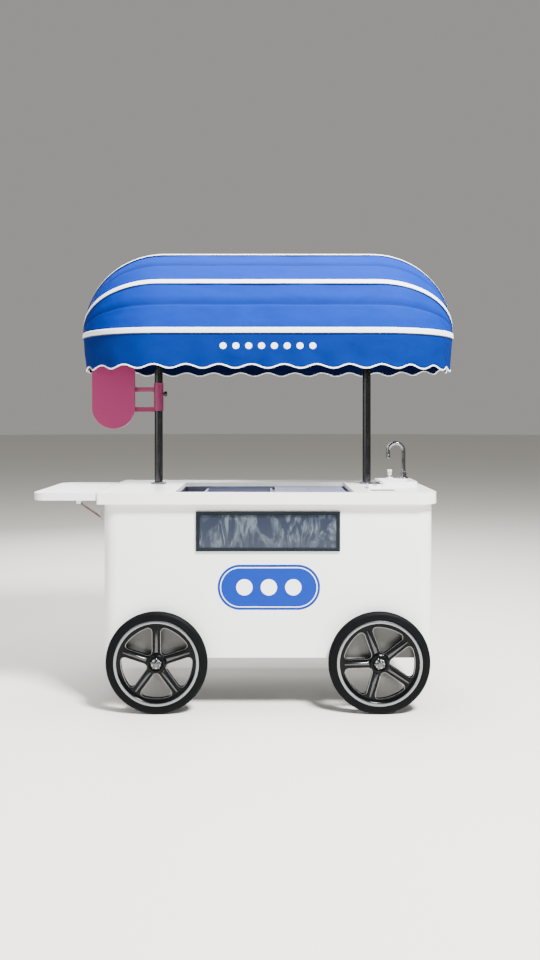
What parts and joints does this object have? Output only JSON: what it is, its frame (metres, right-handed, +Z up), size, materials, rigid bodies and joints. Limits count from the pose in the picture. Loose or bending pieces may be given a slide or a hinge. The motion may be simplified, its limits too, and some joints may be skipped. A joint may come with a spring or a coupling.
{
  "type": "push vending cart",
  "caption": "White push cart for chilled desserts with a domed blue canopy on posts, sliding well lids, a sink, a drop leaf and big spoked wheels.",
  "frame": {"origin": "on the floor, under the middle of the whole cart", "axes": "+X along the cart towards the sink end, +Y towards the operator's side, +Z up"},
  "size_m": [2.0198, 1.011, 2.184],
  "materials": {
    "chassis": "powder coat",
    "floor_sheet": "plain sheet",
    "white_panel": "satin powder coat",
    "door_panel": "satin laminate",
    "solid_surface": "polished solid surface",
    "stainless": "brushed stainless",
    "post_stainless": "polished stainless",
    "foam": "closed-cell foam",
    "pan_steel": "satin stainless",
    "track_plastic": "moulded plastic",
    "lid_clear": "translucent polycarbonate",
    "window_trim": "dark anodised",
    "window_pane": "tinted glass with film",
    "splash_grey": "satin powder coat",
    "axle_steel": "turned steel",
    "bearing_steel": "ground steel",
    "rim_black": "gloss black with machined edges",
    "tyre_black": "rubber",
    "cap_chrome": "chrome plated",
    "zinc": "bright zinc plate",
    "caster_core": "moulded nylon",
    "caster_rubber": "thermoplastic rubber",
    "pedal_red": "moulded nylon",
    "canopy_tube": "mill finish",
    "canopy_cloth": "coated canvas",
    "valance_cloth": "coated canvas",
    "sign_pink": "satin powder coat",
    "bracket_pink": "satin powder coat",
    "knob_black": "moulded nylon",
    "leaf_white": "polished solid surface",
    "stay_metal": "anodised",
    "basin_white": "gloss acrylic",
    "chrome": "chrome plated",
    "soap_white": "moulded plastic",
    "vent_metal": "satin anodised",
    "control_grey": "moulded plastic",
    "unit_grey": "satin enamel",
    "tank_white": "blow-moulded plastic"
  },
  "bodies": {
    "cart": {"chassis_frame": "chassis", "floor_panel": "floor_sheet", "body_shell": "white_panel", "rear_panel": "door_panel", "worktop": "solid_surface", "well_liner": "stainless", "insulation": "foam", "gelato_pans": "pan_steel", "lid_track": "track_plastic", "window_frame": "window_trim", "window_glass": "window_pane", "splash_plates": "splash_grey", "wheel_axles": "axle_steel", "wheel_bearings": "bearing_steel", "caster_plates": "zinc", "canopy_posts": "post_stainless", "post_flanges": "stainless", "canopy_frame": "canopy_tube", "canopy_cover": "canopy_cloth", "canopy_valance": "valance_cloth", "shelf_brackets": "zinc", "sink_basin": "basin_white", "tap_body": "chrome", "soap_bottle": "soap_white", "spoon_box": "basin_white", "vent_grille": "vent_metal", "control_panel": "control_grey", "condensing_unit": "unit_grey", "water_tanks": "tank_white", "water_pump": "knob_black", "fasteners": "zinc"},
    "left_wheel": {"left_rim": "rim_black", "left_tyre": "tyre_black", "left_hub_cap": "cap_chrome"},
    "right_wheel": {"right_rim": "rim_black", "right_tyre": "tyre_black", "right_hub_cap": "cap_chrome"},
    "left_caster": {"left_caster_fork": "zinc", "left_caster_axle": "zinc"},
    "left_caster_roller": {"left_caster_wheel": "caster_core", "left_caster_tread": "caster_rubber"},
    "left_brake": {"left_brake_pedal": "pedal_red"},
    "right_caster": {"right_caster_fork": "zinc", "right_caster_axle": "zinc"},
    "right_caster_roller": {"right_caster_wheel": "caster_core", "right_caster_tread": "caster_rubber"},
    "right_brake": {"right_brake_pedal": "pedal_red"},
    "shelf": {"shelf_leaf": "leaf_white"},
    "stays": {"shelf_stays": "stay_metal"},
    "lid_left_body": {"lid_left": "lid_clear"},
    "lid_right_body": {"lid_right": "lid_clear"},
    "sign": {"sign_panel": "sign_pink", "sign_bracket": "bracket_pink"},
    "clamp_knob": {"sign_knob": "knob_black"},
    "spout": {"tap_spout": "chrome"},
    "pump_head": {"soap_pump": "soap_white"},
    "spoon_cover": {"spoon_lid": "chrome"},
    "door": {"rear_door": "door_panel", "door_handle": "stainless"},
    "dial": {"thermostat_knob": "knob_black"}
  },
  "joints": [
    {"name": "left_wheel_spin", "type": "hinge", "parent": "cart", "child": "left_wheel", "pos_m": [-0.44, -0.4695, 0.232], "axis": [0, -1, 0], "continuous": true},
    {"name": "right_wheel_spin", "type": "hinge", "parent": "cart", "child": "right_wheel", "pos_m": [0.57, -0.4695, 0.232], "axis": [0, -1, 0], "continuous": true},
    {"name": "left_caster_swivel", "type": "hinge", "parent": "cart", "child": "left_caster", "pos_m": [-0.528, 0.1555, 0.22], "axis": [0, 0, 1], "continuous": true},
    {"name": "left_caster_roll", "type": "hinge", "parent": "left_caster", "child": "left_caster_roller", "pos_m": [-0.528, 0.2005, 0.1], "axis": [1, 0, 0], "continuous": true},
    {"name": "left_brake_press", "type": "hinge", "parent": "left_caster", "child": "left_brake", "pos_m": [-0.528, 0.1855, 0.212], "axis": [-1, 0, 0], "range_deg": [0, 12]},
    {"name": "right_caster_swivel", "type": "hinge", "parent": "cart", "child": "right_caster", "pos_m": [0.658, 0.1555, 0.22], "axis": [0, 0, 1], "continuous": true},
    {"name": "right_caster_roll", "type": "hinge", "parent": "right_caster", "child": "right_caster_roller", "pos_m": [0.658, 0.2005, 0.1], "axis": [1, 0, 0], "continuous": true},
    {"name": "right_brake_press", "type": "hinge", "parent": "right_caster", "child": "right_brake", "pos_m": [0.658, 0.1855, 0.212], "axis": [-1, 0, 0], "range_deg": [0, 12]},
    {"name": "shelf_fold", "type": "hinge", "parent": "cart", "child": "shelf", "pos_m": [-0.7205, -0.1495, 0.9605], "axis": [0, -1, 0], "range_deg": [0, 88]},
    {"name": "stay_fold", "type": "hinge", "parent": "shelf", "child": "stays", "pos_m": [-0.803, -0.1495, 0.956], "axis": [0, -1, 0], "range_deg": [-145.2, 0]},
    {"name": "left_lid_slide", "type": "slide", "parent": "cart", "child": "lid_left_body", "axis": [-1, 0, 0], "range_m": [0, 0.29]},
    {"name": "right_lid_slide", "type": "slide", "parent": "cart", "child": "lid_right_body", "axis": [-1, 0, 0], "range_m": [0, 0.29]},
    {"name": "sign_swivel", "type": "hinge", "parent": "cart", "child": "sign", "pos_m": [-0.5, 0.0755, 1.45], "axis": [0, 0, 1], "range_deg": [-90, 90]},
    {"name": "sign_knob_turn", "type": "hinge", "parent": "sign", "child": "clamp_knob", "pos_m": [-0.465, 0.0755, 1.464], "axis": [1, 0, 0], "continuous": true},
    {"name": "tap_swivel", "type": "hinge", "parent": "cart", "child": "spout", "pos_m": [0.765, 0.068, 1.07], "axis": [0, 0, 1], "range_deg": [-80, 80]},
    {"name": "soap_press", "type": "slide", "parent": "cart", "child": "pump_head", "axis": [0, 0, -1], "range_m": [0, 0.012], "stiffness_N_per_m": 150},
    {"name": "spoon_lid_open", "type": "hinge", "parent": "cart", "child": "spoon_cover", "pos_m": [0.5805, -0.1645, 1.0253], "axis": [-1, 0, 0], "range_deg": [0, 100]},
    {"name": "rear_door_swing", "type": "hinge", "parent": "cart", "child": "door", "pos_m": [0.691, 0.2855, 0.6], "axis": [0, 0, -1], "range_deg": [0, 95]},
    {"name": "thermostat_turn", "type": "hinge", "parent": "cart", "child": "dial", "pos_m": [0.03, 0.3155, 0.75], "axis": [0, 1, 0], "range_deg": [-135, 135]}
  ],
  "couplings": [
    {"joint": "stay_fold", "follows": "shelf_fold", "ratio": -1.65}
  ]
}
